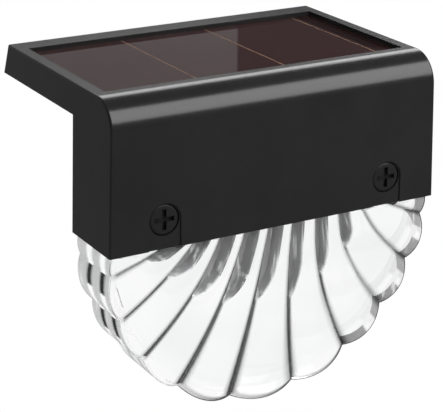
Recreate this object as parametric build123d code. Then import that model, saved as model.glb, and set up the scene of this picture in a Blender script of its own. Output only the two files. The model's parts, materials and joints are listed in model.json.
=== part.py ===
"""Solar fence light: an inverted-L housing over a fence rail, with a scallop-shell lens below.

Millimetres. The origin is midway between the two mounting screws, on the rear face that lies
against the fence. +X is to the right as seen from the front, +Y points into the fence and +Z
is up, so the front of the light faces -Y.
"""
import os
from math import cos, hypot, radians, sin, tan

from build123d import *

# ---------------------------------------------------------------- housing
BODY_WIDTH = 110.0          # across the lower edge
BODY_HEIGHT = 44.7          # lower edge to panel rim
SLAB_DEPTH = 24.5           # vertical leg, front to back
TRAY_REACH = 50.2           # horizontal leg, behind the rear face, at its underside
TRAY_THICKNESS = 9.4
TRAY_LEAN = 3.5             # how far the tray's rear face leans forward over its height
SIDE_DRAFT = 1.86           # degrees, each side
SHOULDER_RADIUS = 9.1       # front top edge
EDGE_ROUND = 0.6            # small round between the side faces and the rest
WALL = 2.2
INNER_CORNER = 5.0          # inside round behind the shoulder
FIT_GAP = 0.2               # between pieces that slip into each other

# ---------------------------------------------------------------- mounting screws
SCREW_SPACING = 75.2
SCREW_HEIGHT = 8.6          # above the lower edge
SCREW_RADIUS = 1.9          # over the thread
SHANK_RADIUS = 1.6          # plain part under the head
SCREW_LENGTH = 38.0         # under the head
SCREW_POINT = 3.0
HEAD_RADIUS = 4.3
HEAD_HEIGHT = 2.0
HEAD_ROUND = 0.9
CROSS_SPAN = 6.2
CROSS_SLOT = 1.4
CROSS_DEPTH = 1.3
RECESS_WIDTH = 10.3         # shallow arch round each screw
RECESS_DEPTH = 0.4
SEAT_RADIUS = 4.75          # round seat that the head sinks into
SEAT_DEPTH = 2.2
SCREW_BORE = 2.2            # radius of the passage
SCREW_TUBE = 3.8            # outside radius of the tube round the passage

# ---------------------------------------------------------------- panel
POCKET_WIDTH = 99.7
POCKET_LENGTH = 52.4
POCKET_FRONT = 11.8         # from the front face
POCKET_CORNER = 0.6
POCKET_FLOOR = 1.6
PANEL_REVEAL = 0.6          # panel top below the rim
PANEL_BACKING = 1.2
CELL_THICKNESS = 0.3
PANEL_TOP = 0.7
ADHESIVE_THICKNESS = 0.4
ADHESIVE_WIDTH = 5.0
CELL_MARGIN = 0.5
CELL_LINES = (-19.1, 10.4, 42.7)   # the gold lines, front to back, from the middle
LINE_WIDTH = 0.35
LINE_SLIT = 0.45            # slit between two cells that a line lies in
WIRE_SLOT_LENGTH = 8.0
WIRE_SLOT_WIDTH = 3.5

# ---------------------------------------------------------------- rear cover
COVER_THICKNESS = 2.2
GASKET_THICKNESS = 0.8
GASKET_WIDTH = 2.3
LEDGE_THICKNESS = 1.5
COVER_LIFT = 0.3            # cover's lower edge above the housing's
COVER_SCREW_RADIUS = 1.1
COVER_SCREW_LENGTH = 7.0    # of the two in the back
COVER_HEAD_RADIUS = 2.0
COVER_HEAD_HEIGHT = 1.0
COVER_HEAD_SUNK = 0.2
COVER_BOSS_RADIUS = 2.6
COVER_SCREW_HEIGHT = 24.0   # of the two in the back, above the lower edge
PILOT_GAP = 0.05            # pilot hole, over the screw's radius
PILOT_ROOM = 0.4            # pilot hole, past the screw's end
PILOT_ROOF = 0.4            # left over the pilot holes under the panel
HEAD_GAP = 0.3

# ---------------------------------------------------------------- lens
LENS_TOP_GAP = 0.5          # lens rear face in front of the housing's
LENS_INSET = 0.6            # flute crests behind the front face, at the top
CREST_TILT = 0.095          # crests lean back, per mm down
FLUTE_RISE = 1.1            # crest above crease at the top
FLUTE_RISE_TILT = 0.03      # and how that grows, per mm down
VALLEY_DEPTH = 5.4          # bottom of the gaps between the flute stems
VALLEY_TILT = 0.06
CUSP_RADIUS_X = 53.5        # outline through the cusps, half an ellipse
CUSP_RADIUS_Z = 57.8
CUSP_ANGLES = (11.1, 31.2, 49.3, 66.5, 83.0)   # from straight down, each side
CREASE_PULL = (0.18, 0.17, 0.17, 0.31, 0.53)   # sideways bow of each crease
STEM_PITCH = 8.1            # between creases at the housing
STEM_GAP = 1.75             # half the open gap between two stems at the housing
GAP_END = 0.47              # where the gap closes, as a share of the crease
CROSSING = 1.14             # how far past the crease a flute's arc runs on, inside its neighbour
FLUTE_STATIONS = (0.0, 0.25, 0.5, 0.75, 1.08)  # sections, as shares of the crease
END_START = -0.08           # first section of the end flutes, above the lower edge
FLUTE_ROOT = 0.5            # how far the flutes reach into the plate
LOBE_BULGE = 2.3            # outline between two cusps
LENS_WALL = 2.6
LENS_FLOOR = 2.0            # front plate behind the valleys
LENS_BACK = 2.2
FLANGE_THICKNESS = 1.8
COLLAR_HEIGHT = 3.2
COLLAR_WALL = 2.0
COLLAR_CORNER = 1.5
LENS_GASKET_HEIGHT = 1.0
LENS_GASKET_WIDTH = 1.1

# ---------------------------------------------------------------- light deck and LEDs
DECK_THICKNESS = 1.2
LED_COUNT = 6
LED_PITCH = 10.0
LED_SIZE = 5.0
LED_WELL = 0.2              # depth of the lamp's round well
LED_HEIGHT = 0.9
LED_WINDOW = 6.0
LED_BOARD_LENGTH = 64.0
LED_BOARD_WIDTH = 10.0
BOARD_THICKNESS = 1.2
PEG_RADIUS = 0.95
PEG_GAP = 0.05
PEG_CLEAR = 0.7             # from the outer windows
PEG_HEAD = 0.8

# ---------------------------------------------------------------- cell and holder
CELL_RADIUS = 7.25
CELL_LENGTH = 49.0
CELL_NUB_RADIUS = 2.75
CELL_NUB_LENGTH = 1.5
CELL_HEIGHT = 30.6          # centre above the lower edge
HOLDER_WALL = 1.2
HOLDER_GAP = 0.25
HOLDER_ARM = 7.0            # reach of the top arm
CONTACT_THICKNESS = 0.5
CONTACT_WIDTH = 9.0
SPRING_ROOM = 4.0
SPRING_LEAF = 0.4
SPRING_GAP = 0.1

# ---------------------------------------------------------------- control board and switch
BOARD_LENGTH = 60.0
BOARD_HEIGHT = 13.0
BOARD_LIFT = 7.0            # lower edge above the housing's
BOARD_STANDOFF = 10.0       # from the cover's inner face
STANDOFF_RADIUS = 2.5
STANDOFF_PLACES = (-26.0, 26.0)
BOARD_SCREW_RADIUS = 0.9
BOARD_SCREW_LENGTH = 6.0
BOARD_HEAD_RADIUS = 1.8
BOARD_HEAD_HEIGHT = 1.2
CHIP_SIZE = 5.0
CHIP_HEIGHT = 1.5
COIL_RADIUS = 2.6
COIL_HEIGHT = 3.0
CAPACITOR_RADIUS = 2.0
CAPACITOR_HEIGHT = 4.5
PART_PLACES = (-17.0, -9.0, 0.0)   # chip, coil and capacitor along the board
BUTTON_PLACE = 16.0         # from the middle
BUTTON_HEIGHT = 14.5        # above the lower edge
BUTTON_RADIUS = 4.0
BUTTON_GAP = 0.3
BUTTON_SUNK = 0.6
BUTTON_EDGE = 0.4
BUTTON_FLANGE = 1.0
BUTTON_FLANGE_STEP = 1.2
BUTTON_TRAVEL = 1.2
SWITCH_SIZE = 7.0
SWITCH_CLEARANCE = 0.4
PLUNGER_RADIUS = 1.6
PLUNGER_GAP = 0.2
PLUNGER_DEPTH = 2.2

# ---------------------------------------------------------------- wires
WIRE_RADIUS = 0.6
WIRE_GAP = 2.0              # between the middles of two wires
WIRE_CLEAR = 2.0            # from a wire's middle to what it passes
LED_WIRE_PLACES = (5.0, 8.0)

# ---------------------------------------------------------------- worked out from the above
FRONT_Y = -SLAB_DEPTH
BASE_Z = -SCREW_HEIGHT
TOP_Z = BASE_Z + BODY_HEIGHT
TRAY_Z = TOP_Z - TRAY_THICKNESS
DRAFT_SLOPE = tan(radians(SIDE_DRAFT))
SCREW_PLACES = (-SCREW_SPACING / 2, SCREW_SPACING / 2)
BLOCK_Y = FRONT_Y + SEAT_DEPTH + WALL             # inner face behind the screw seats
PANEL_THICKNESS = PANEL_BACKING + CELL_THICKNESS + PANEL_TOP
POCKET_FLOOR_Z = TOP_Z - PANEL_REVEAL - PANEL_THICKNESS - ADHESIVE_THICKNESS
CEILING_Z = POCKET_FLOOR_Z - POCKET_FLOOR
POCKET_FRONT_Y = FRONT_Y + POCKET_FRONT
POCKET_REAR_Y = POCKET_FRONT_Y + POCKET_LENGTH
COVER_FLOOR_Z = TRAY_Z + COVER_THICKNESS
LEDGE_Y = -COVER_THICKNESS - GASKET_THICKNESS     # face the gasket lies on, in the slab
LEDGE_Z = COVER_FLOOR_Z + GASKET_THICKNESS        # and in the tray
COVER_SIDE = WALL + FIT_GAP                       # cover's edge in from the outside
REAR_SCREW_Z = BASE_Z + COVER_SCREW_HEIGHT
PILOT_TOP_Z = POCKET_FLOOR_Z - PILOT_ROOF
GASKET_SIDE = COVER_SIDE + GASKET_WIDTH           # gasket's inner edge, in from the outside
COLLAR_FRONT_Y = BLOCK_Y + FIT_GAP + LENS_GASKET_WIDTH
COLLAR_REAR_Y = LEDGE_Y - FIT_GAP - LENS_GASKET_WIDTH
COLLAR_HALF = BODY_WIDTH / 2 - WALL - FIT_GAP - LENS_GASKET_WIDTH
LENS_REAR_Y = -LENS_TOP_GAP
DECK_Z = BASE_Z + COLLAR_HEIGHT
DECK_TOP_Z = DECK_Z + DECK_THICKNESS
LED_LINE_Y = (COLLAR_FRONT_Y + COLLAR_REAR_Y) / 2
LED_PLACES = [(i - (LED_COUNT - 1) / 2) * LED_PITCH for i in range(LED_COUNT)]
PEG_REACH = LED_PLACES[-1] + LED_WINDOW / 2 + PEG_CLEAR + PEG_RADIUS
PEG_PLACES = (-PEG_REACH, PEG_REACH)
COVER_INNER_Y = -COVER_THICKNESS
CELL_Y = COVER_INNER_Y - HOLDER_WALL - HOLDER_GAP - CELL_RADIUS
CELL_Z = BASE_Z + CELL_HEIGHT
HOLDER_HALF = (CELL_LENGTH + CELL_NUB_LENGTH + SPRING_ROOM) / 2 + CONTACT_THICKNESS
BOARD_REAR_Y = COVER_INNER_Y - BOARD_STANDOFF
BOARD_FRONT_Y = BOARD_REAR_Y - BOARD_THICKNESS
BOARD_MID_Z = BASE_Z + BOARD_LIFT + BOARD_HEIGHT / 2
PAD_Z = BASE_Z + BOARD_LIFT + BOARD_HEIGHT - WIRE_CLEAR   # row of solder pads on the board
BUTTON_Z = BASE_Z + BUTTON_HEIGHT
FLANGE_Y = COVER_INNER_Y - BUTTON_GAP             # rear face of the button's flange
SWITCH_Y = FLANGE_Y - BUTTON_FLANGE - BUTTON_TRAVEL - SWITCH_CLEARANCE
SIDES = (-1, 1)


# ---------------------------------------------------------------- helpers
def block(x0, x1, y0, y1, z0, z1):
    """A box from its two corners."""
    return Pos((x0 + x1) / 2, (y0 + y1) / 2, (z0 + z1) / 2) * Box(x1 - x0, y1 - y0, z1 - z0)


def rod_y(x, z, y0, y1, radius):
    """A round bar along Y."""
    bar = Cylinder(radius, abs(y1 - y0))
    return Pos(x, (y0 + y1) / 2, z) * Rot(90, 0, 0) * bar


def rod_z(x, y, z0, z1, radius):
    """A round bar along Z."""
    return Pos(x, y, (z0 + z1) / 2) * Cylinder(radius, abs(z1 - z0))


def rod_x(x0, x1, y, z, radius):
    """A round bar along X."""
    return Pos((x0 + x1) / 2, y, z) * Rot(0, 90, 0) * Cylinder(radius, abs(x1 - x0))


def outline(points):
    """A closed face in the YZ plane from (y, z) points."""
    return Plane.YZ * make_face(Polyline(*points, close=True))


def across(face, half_width):
    """A side-view face pulled out both ways along X."""
    return extrude(face, amount=half_width, both=True)


def half_width(z, inset=0.0):
    """Half the body's width at a height, taken in by inset."""
    return BODY_WIDTH / 2 - (z - BASE_Z) * DRAFT_SLOPE - inset


def taper(inset=0.0):
    """The space between the two drafted side faces, taken in by inset."""
    low, high = BASE_Z - BODY_HEIGHT, TOP_Z + BODY_HEIGHT
    wide, narrow = half_width(low, inset), half_width(high, inset)
    points = [(-wide, low), (wide, low), (narrow, high), (-narrow, high)]
    face = Plane.XZ * make_face(Polyline(*points, close=True))
    return extrude(face, amount=2 * (SLAB_DEPTH + TRAY_REACH), both=True)


def tray_rear(z, inset=0.0):
    """Y of the tray's leaning rear face at a height, taken in by inset."""
    return TRAY_REACH - (z - TRAY_Z) * TRAY_LEAN / TRAY_THICKNESS - inset


def joined(parts):
    """All the solids of a list of shapes, as one group."""
    return Compound(children=[solid for part in parts for solid in part.solids()])


# ---------------------------------------------------------------- housing
def housing_outside():
    """The full L block with its shoulder, drafted sides and rounded side edges."""
    face = outline([
        (FRONT_Y, BASE_Z), (FRONT_Y, TOP_Z), (tray_rear(TOP_Z), TOP_Z),
        (TRAY_REACH, TRAY_Z), (0, TRAY_Z), (0, BASE_Z)])
    corner = face.vertices().sort_by_distance((0, FRONT_Y, TOP_Z))[0]
    face = fillet(corner, SHOULDER_RADIUS)
    solid = across(face, BODY_WIDTH) & taper()
    side_edges = [
        edge
        for side in (solid.faces().sort_by(Axis.X)[0], solid.faces().sort_by(Axis.X)[-1])
        for edge in side.edges()
        if edge.center().Z > BASE_Z + 1 and edge.center().Y < -1 or edge.center().Z > TRAY_Z + 1]
    return fillet(side_edges, EDGE_ROUND)


def housing_inside():
    """What is hollow: open below, at the back of the slab and under the tray."""
    outer = BODY_HEIGHT
    face = outline([
        (FRONT_Y + WALL, BASE_Z - outer), (FRONT_Y + WALL, CEILING_Z),
        (tray_rear(CEILING_Z, WALL), CEILING_Z), (tray_rear(TRAY_Z - 1, WALL), TRAY_Z - 1),
        (outer, TRAY_Z - 1), (outer, BASE_Z - outer)])
    corner = face.vertices().sort_by_distance((0, FRONT_Y + WALL, CEILING_Z))[0]
    return across(fillet(corner, INNER_CORNER), BODY_WIDTH) & taper(WALL)


def cover_ledges():
    """Ledges inside the side walls and the tray's rear edge, which the gasket lies on."""
    low = DECK_TOP_Z + FIT_GAP
    rear = tray_rear(LEDGE_Z, WALL)
    face = outline([
        (LEDGE_Y - LEDGE_THICKNESS, low), (LEDGE_Y - LEDGE_THICKNESS, CEILING_Z),
        (tray_rear(CEILING_Z, WALL), CEILING_Z), (rear, LEDGE_Z),
        (LEDGE_Y, LEDGE_Z), (LEDGE_Y, low)])
    band = across(face, BODY_WIDTH) & taper(WALL)
    inside = block(-BODY_WIDTH, BODY_WIDTH, 2 * FRONT_Y, rear - GASKET_WIDTH, low - 1, TOP_Z)
    return band - (inside & taper(WALL + GASKET_WIDTH))


def cover_screw_places():
    """(x, y) of the tray's screws, then (x, z) of the slab's."""
    tray_x = half_width(LEDGE_Z, GASKET_SIDE + FIT_GAP) - COVER_BOSS_RADIUS
    tray_y = tray_rear(LEDGE_Z, COVER_SIDE + FIT_GAP) - GASKET_WIDTH - COVER_BOSS_RADIUS
    slab_x = half_width(LEDGE_Z, GASKET_SIDE + FIT_GAP) - COVER_BOSS_RADIUS
    return (tray_x, tray_y), (slab_x, REAR_SCREW_Z)


def screw_recess(x):
    """Shallow arch round a mounting screw, open at the lower edge, and the head's deeper seat."""
    radius = RECESS_WIDTH / 2
    arch = rod_y(x, 0, FRONT_Y - 1, FRONT_Y + RECESS_DEPTH, radius)
    slot = block(x - radius, x + radius, FRONT_Y - 1, FRONT_Y + RECESS_DEPTH, BASE_Z - 1, 0)
    return arch + slot + rod_y(x, 0, FRONT_Y, FRONT_Y + SEAT_DEPTH, SEAT_RADIUS)


def screw_block(x):
    """The wall behind a seat, and the tube that carries the screw to the cover."""
    wall = rod_y(x, 0, FRONT_Y + WALL / 2, BLOCK_Y, SEAT_RADIUS + WALL)
    return wall + rod_y(x, 0, BLOCK_Y - WALL / 2, COVER_INNER_Y, SCREW_TUBE)


def make_housing():
    body = housing_outside() - housing_inside()
    pocket = block(-POCKET_WIDTH / 2, POCKET_WIDTH / 2, POCKET_FRONT_Y, POCKET_REAR_Y,
                   POCKET_FLOOR_Z, TOP_Z + 1)
    body -= fillet(pocket.edges().filter_by(Axis.Z), POCKET_CORNER)
    body -= block(-WIRE_SLOT_LENGTH / 2, WIRE_SLOT_LENGTH / 2, WIRE_SLOT_WIDTH,
                  2 * WIRE_SLOT_WIDTH, CEILING_Z - 1, POCKET_FLOOR_Z + 1)
    body += cover_ledges()
    (tray_x, tray_y), (slab_x, slab_z) = cover_screw_places()
    pilot = COVER_SCREW_RADIUS + PILOT_GAP
    for side in SIDES:
        body += rod_z(side * tray_x, tray_y, COVER_FLOOR_Z, CEILING_Z + WALL / 2,
                      COVER_BOSS_RADIUS)
        body += rod_y(side * slab_x, slab_z, FRONT_Y + WALL / 2, COVER_INNER_Y,
                      COVER_BOSS_RADIUS)
    for x in SCREW_PLACES:
        body += screw_block(x)
    for side in SIDES:
        body -= rod_z(side * tray_x, tray_y, TRAY_Z, PILOT_TOP_Z, pilot)
        body -= rod_y(side * slab_x, slab_z, -COVER_SCREW_LENGTH - PILOT_ROOM, 0, pilot)
    for x in SCREW_PLACES:
        body -= screw_recess(x)
        body -= rod_y(x, 0, FRONT_Y, 0, SCREW_BORE)
    return body


# ---------------------------------------------------------------- rear cover and its seal
def make_rear_cover():
    low = BASE_Z + COVER_LIFT
    face = outline([
        (COVER_INNER_Y, low), (COVER_INNER_Y, COVER_FLOOR_Z),
        (tray_rear(COVER_FLOOR_Z, COVER_SIDE), COVER_FLOOR_Z),
        (tray_rear(TRAY_Z, COVER_SIDE), TRAY_Z), (0, TRAY_Z), (0, low)])
    cover = across(face, BODY_WIDTH) & taper(COVER_SIDE)
    for x in STANDOFF_PLACES:
        cover += rod_y(x, BOARD_MID_Z, BOARD_REAR_Y, COVER_INNER_Y + 1, STANDOFF_RADIUS)
    (tray_x, tray_y), (slab_x, slab_z) = cover_screw_places()
    hole = COVER_SCREW_RADIUS + FIT_GAP
    sunk = COVER_HEAD_HEIGHT + COVER_HEAD_SUNK
    for side in SIDES:
        x = side * tray_x
        cover -= rod_z(x, tray_y, TRAY_Z - 1, COVER_FLOOR_Z + 1, hole)
        cover -= rod_z(x, tray_y, TRAY_Z - 1, TRAY_Z + sunk, COVER_HEAD_RADIUS + HEAD_GAP)
        x = side * slab_x
        cover -= rod_y(x, slab_z, COVER_INNER_Y - 1, 1, hole)
        cover -= rod_y(x, slab_z, -sunk, 1, COVER_HEAD_RADIUS + HEAD_GAP)
    for x in SCREW_PLACES:
        cover -= rod_y(x, 0, COVER_INNER_Y - 1, 1, SCREW_BORE)
    for x in STANDOFF_PLACES:
        cover -= rod_y(x, BOARD_MID_Z, BOARD_REAR_Y - 1, BOARD_REAR_Y + BOARD_SCREW_LENGTH,
                       BOARD_SCREW_RADIUS + PILOT_GAP)
    cover -= rod_y(BUTTON_PLACE, BUTTON_Z, COVER_INNER_Y - 1, 1, BUTTON_RADIUS + BUTTON_GAP)
    return cover


def make_cover_gasket():
    low = BASE_Z + COVER_LIFT
    rear = tray_rear(COVER_FLOOR_Z, COVER_SIDE)
    face = outline([
        (LEDGE_Y, low), (LEDGE_Y, LEDGE_Z), (tray_rear(LEDGE_Z, COVER_SIDE), LEDGE_Z),
        (rear, COVER_FLOOR_Z), (COVER_INNER_Y, COVER_FLOOR_Z), (COVER_INNER_Y, low)])
    band = across(face, BODY_WIDTH) & taper(COVER_SIDE)
    inside = block(-BODY_WIDTH, BODY_WIDTH, 2 * FRONT_Y, rear - GASKET_WIDTH,
                   low + GASKET_WIDTH, TOP_Z)
    return band - (inside & taper(GASKET_SIDE))


def make_cover_screws():
    (tray_x, tray_y), (slab_x, slab_z) = cover_screw_places()
    start, under = COVER_HEAD_SUNK, COVER_HEAD_SUNK + COVER_HEAD_HEIGHT
    screws = []
    for side in SIDES:
        x = side * tray_x
        shank = rod_z(x, tray_y, TRAY_Z + under, PILOT_TOP_Z - PILOT_ROOM, COVER_SCREW_RADIUS)
        screws.append(rod_z(x, tray_y, TRAY_Z + start, TRAY_Z + under, COVER_HEAD_RADIUS) + shank)
        x = side * slab_x
        shank = rod_y(x, slab_z, -COVER_SCREW_LENGTH, -under, COVER_SCREW_RADIUS)
        screws.append(rod_y(x, slab_z, -under, -start, COVER_HEAD_RADIUS) + shank)
    return joined(screws)


# ---------------------------------------------------------------- solar panel
def panel_layer(low, thickness, inset=FIT_GAP):
    """A flat layer of the panel's size."""
    half = POCKET_WIDTH / 2 - inset
    return block(-half, half, POCKET_FRONT_Y + inset, POCKET_REAR_Y - inset, low, low + thickness)


def make_panel_adhesive():
    ring = panel_layer(POCKET_FLOOR_Z, ADHESIVE_THICKNESS, 2 * FIT_GAP)
    return ring - panel_layer(POCKET_FLOOR_Z - 1, 2 + ADHESIVE_THICKNESS, ADHESIVE_WIDTH)


def make_panel_backing():
    return panel_layer(POCKET_FLOOR_Z + ADHESIVE_THICKNESS, PANEL_BACKING)


def cell_level():
    """Underside of the cells."""
    return POCKET_FLOOR_Z + ADHESIVE_THICKNESS + PANEL_BACKING


def make_solar_cells():
    layer = panel_layer(cell_level(), CELL_THICKNESS, FIT_GAP + CELL_MARGIN)
    for x in CELL_LINES:
        layer -= block(x - LINE_SLIT / 2, x + LINE_SLIT / 2, POCKET_FRONT_Y, POCKET_REAR_Y,
                       cell_level() - 1, cell_level() + 1)
    return joined([layer])


def make_cell_lines():
    inset = FIT_GAP + CELL_MARGIN
    lines = [
        block(x - LINE_WIDTH / 2, x + LINE_WIDTH / 2, POCKET_FRONT_Y + inset,
              POCKET_REAR_Y - inset, cell_level(), cell_level() + CELL_THICKNESS)
        for x in CELL_LINES]
    return joined(lines)


def make_panel_top():
    return panel_layer(cell_level() + CELL_THICKNESS, PANEL_TOP)


# ---------------------------------------------------------------- lens
def crest_y(z):
    """Y of the flutes' crests at a height."""
    return FRONT_Y + LENS_INSET + CREST_TILT * (BASE_Z - z)


def crease_y(z):
    """Y of the creases between flutes at a height."""
    return crest_y(z) + FLUTE_RISE + FLUTE_RISE_TILT * (BASE_Z - z)


def valley_y(z):
    """Y of the plate that the flutes stand on."""
    return FRONT_Y + VALLEY_DEPTH + VALLEY_TILT * (BASE_Z - z)


def cusp(angle, inset=0.0):
    """(x, z) on the ellipse through the cusps, at an angle from straight down."""
    turn = radians(angle)
    reach_x, reach_z = CUSP_RADIUS_X - inset, CUSP_RADIUS_Z - inset
    radius = reach_x * reach_z / ((reach_z * sin(turn)) ** 2 + (reach_x * cos(turn)) ** 2) ** 0.5
    return radius * sin(turn), BASE_Z - radius * cos(turn)


def crease(index, share):
    """(x, z) on a crease, from the housing at share 0 to the rim at 1. index -5 to 5, not 0."""
    rank = abs(index) - 1
    side = index / abs(index)
    end_x, end_z = cusp(CUSP_ANGLES[rank])
    start_x = (rank + 0.5) * STEM_PITCH
    pull_x = start_x + CREASE_PULL[rank] * (end_x - start_x)
    pull_z = (BASE_Z + end_z) / 2
    near, mid, far = (1 - share) ** 2, 2 * share * (1 - share), share ** 2
    x = near * start_x + mid * pull_x + far * end_x
    z = near * BASE_Z + mid * pull_z + far * end_z
    return side * x, z


def flute_section(left, right, share, root):
    """D-shaped section of a flute between two (x, z) points, with its back in the plate.

    Near the housing the section is narrower than the space between its creases, which leaves
    the gap between two stems. Further out it is wider, so that two neighbours cross in a crease.
    """
    (x0, z0), (x1, z1) = left, right
    width = hypot(x1 - x0, z1 - z0)
    mid_x, mid_z = (x0 + x1) / 2, (z0 + z1) / 2
    along_x, along_z = (x1 - x0) / width, (z1 - z0) / width
    crest, rise = crest_y(mid_z), crease_y(mid_z) - crest_y(mid_z)
    half = width / 2 - STEM_GAP * (1 - share / GAP_END)
    reach = min(half, width / 2 * CROSSING)
    radius = (width ** 2 / 4 + rise ** 2) / (2 * rise)
    drop = radius - (radius ** 2 - reach ** 2) ** 0.5

    def point(offset, y):
        return mid_x + along_x * offset, y, mid_z + along_z * offset

    back = max(valley_y(mid_z), crest + drop) + root
    front = ThreePointArc(point(-reach, crest + drop), point(0, crest), point(reach, crest + drop))
    rest = Polyline(point(reach, crest + drop), point(reach, back), point(-reach, back),
                    point(-reach, crest + drop))
    return make_face([front, rest])


def flute(left_index, right_index):
    """One flute, a little longer than the lens, before the outline trims it."""
    root = FLUTE_ROOT * (1 + left_index % 2)
    sections = [
        flute_section(crease(left_index, share), crease(right_index, share), share, root)
        for share in FLUTE_STATIONS]
    return loft(sections)


def end_flute(side):
    """The part flute at each end, whose upper half would lie inside the housing."""
    index = side * len(CUSP_ANGLES)
    sections = []
    for share in (END_START, *FLUTE_STATIONS[1:]):
        x, z = crease(index, share)
        height = abs(BASE_Z - z) + STEM_PITCH / 2 * abs(share)
        ends = sorted([(x, z), (x + side * STEM_PITCH * (1 - share), BASE_Z + height)])
        sections.append(flute_section(*ends, share, FLUTE_ROOT * 1.5))
    return loft(sections)


def lens_outline(inset, bulge):
    """The half-ellipse through the cusps, with a bulge between each two, in the XZ plane."""
    angles = [-90] + [-a for a in reversed(CUSP_ANGLES)] + list(CUSP_ANGLES) + [90]
    points = [cusp(angle, inset) for angle in angles]
    curves = []
    for (start, end), (a0, a1) in zip(zip(points, points[1:]), zip(angles, angles[1:])):
        middle = cusp((a0 + a1) / 2, inset)
        chord_x, chord_z = (start[0] + end[0]) / 2, (start[1] + end[1]) / 2
        length = (middle[0] ** 2 + (middle[1] - BASE_Z) ** 2) ** 0.5
        out_x, out_z = middle[0] / length, (middle[1] - BASE_Z) / length
        part_lobe = abs(a0) == 90 or abs(a1) == 90
        rise = bulge / 4 if part_lobe else bulge
        top = (chord_x + out_x * rise, chord_z + out_z * rise) if bulge else middle
        curves.append(ThreePointArc(start, top, end))
    curves.append(Line(points[-1], points[0]))
    return Plane.XZ * make_face(curves)


def lens_slice(inset, bulge, front, rear):
    """The outline pulled from one Y to another."""
    face = lens_outline(inset, bulge)
    return Pos(0, rear, 0) * extrude(face, amount=rear - front, dir=(0, -1, 0))


def lens_plate(depth):
    """Everything behind a plane that leans like the valleys, depth behind them."""
    low = BASE_Z - 2 * CUSP_RADIUS_Z
    face = outline([
        (valley_y(BASE_Z) + depth, BASE_Z), (0, BASE_Z), (0, low), (valley_y(low) + depth, low)])
    return across(face, BODY_WIDTH)


def rounded_loop(half, front, rear, corner, low, high):
    """A block with rounded upright edges."""
    solid = block(-half, half, front, rear, low, high)
    return fillet(solid.edges().filter_by(Axis.Z), corner)


def make_clear_lens():
    lens = lens_plate(0)
    indices = [i for i in range(-len(CUSP_ANGLES), len(CUSP_ANGLES) + 1) if i != 0]
    for left, right in zip(indices, indices[1:]):
        lens += flute(left, right)
    for side in SIDES:
        lens += end_flute(side)
    far = 2 * BODY_WIDTH
    stock = block(-far, far, 2 * FRONT_Y, SLAB_DEPTH, BASE_Z - far, BASE_Z + far)
    lens -= stock - lens_slice(0, LOBE_BULGE, FRONT_Y - 1, LENS_REAR_Y)
    hollow = lens_slice(LENS_WALL, 0, FRONT_Y, LENS_REAR_Y - LENS_BACK) & lens_plate(LENS_FLOOR)
    hollow -= block(-BODY_WIDTH, BODY_WIDTH, FRONT_Y, 0, BASE_Z - FLANGE_THICKNESS, TOP_Z)
    lens -= hollow
    lens += rounded_loop(COLLAR_HALF, COLLAR_FRONT_Y, COLLAR_REAR_Y, COLLAR_CORNER,
                         BASE_Z - FLANGE_THICKNESS / 2, DECK_Z)
    mouth_half = COLLAR_HALF - COLLAR_WALL
    mouth_front, mouth_rear = COLLAR_FRONT_Y + COLLAR_WALL, COLLAR_REAR_Y - COLLAR_WALL
    return lens - rounded_loop(mouth_half, mouth_front, mouth_rear, COLLAR_CORNER,
                               BASE_Z - 2 * FLANGE_THICKNESS, DECK_Z + 1)


def make_lens_gasket():
    wide = LENS_GASKET_WIDTH
    ring = rounded_loop(COLLAR_HALF + wide, COLLAR_FRONT_Y - wide, COLLAR_REAR_Y + wide,
                        COLLAR_CORNER + wide, BASE_Z, BASE_Z + LENS_GASKET_HEIGHT)
    return ring - rounded_loop(COLLAR_HALF, COLLAR_FRONT_Y, COLLAR_REAR_Y, COLLAR_CORNER,
                               BASE_Z - 1, BASE_Z + LENS_GASKET_HEIGHT + 1)


# ---------------------------------------------------------------- light deck and LEDs
def make_light_deck():
    deck = rounded_loop(COLLAR_HALF, COLLAR_FRONT_Y, COLLAR_REAR_Y, COLLAR_CORNER,
                        DECK_Z, DECK_TOP_Z)
    reach = LED_WINDOW / 2
    for x in LED_PLACES:
        deck -= block(x - reach, x + reach, LED_LINE_Y - reach, LED_LINE_Y + reach,
                      DECK_Z - 1, DECK_TOP_Z + 1)
    top = DECK_TOP_Z + BOARD_THICKNESS
    for x in PEG_PLACES:
        deck += rod_z(x, LED_LINE_Y, DECK_Z + DECK_THICKNESS / 2, top + PEG_HEAD, PEG_RADIUS)
    return deck


def make_led_board():
    half = LED_BOARD_WIDTH / 2
    board = block(-LED_BOARD_LENGTH / 2, LED_BOARD_LENGTH / 2, LED_LINE_Y - half,
                  LED_LINE_Y + half, DECK_TOP_Z, DECK_TOP_Z + BOARD_THICKNESS)
    for x in PEG_PLACES:
        board -= rod_z(x, LED_LINE_Y, DECK_Z, TOP_Z, PEG_RADIUS + PEG_GAP)
    return board


def make_leds():
    half = LED_SIZE / 2
    lamps = []
    for x in LED_PLACES:
        lamp = block(x - half, x + half, LED_LINE_Y - half, LED_LINE_Y + half,
                     DECK_TOP_Z - LED_HEIGHT, DECK_TOP_Z)
        lamp -= rod_z(x, LED_LINE_Y, DECK_Z, DECK_TOP_Z - LED_HEIGHT + LED_WELL, half * 0.8)
        lamps.append(lamp)
    return joined(lamps)


# ---------------------------------------------------------------- cell and holder
def make_battery_cell():
    start = -HOLDER_HALF + CONTACT_THICKNESS + SPRING_ROOM
    can = rod_x(start, start + CELL_LENGTH, CELL_Y, CELL_Z, CELL_RADIUS)
    ends = can.edges().filter_by(GeomType.CIRCLE)
    can = chamfer(ends, 0.6)
    nub = rod_x(start + CELL_LENGTH - 1, start + CELL_LENGTH + CELL_NUB_LENGTH, CELL_Y, CELL_Z,
                CELL_NUB_RADIUS)
    return can + nub


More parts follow.
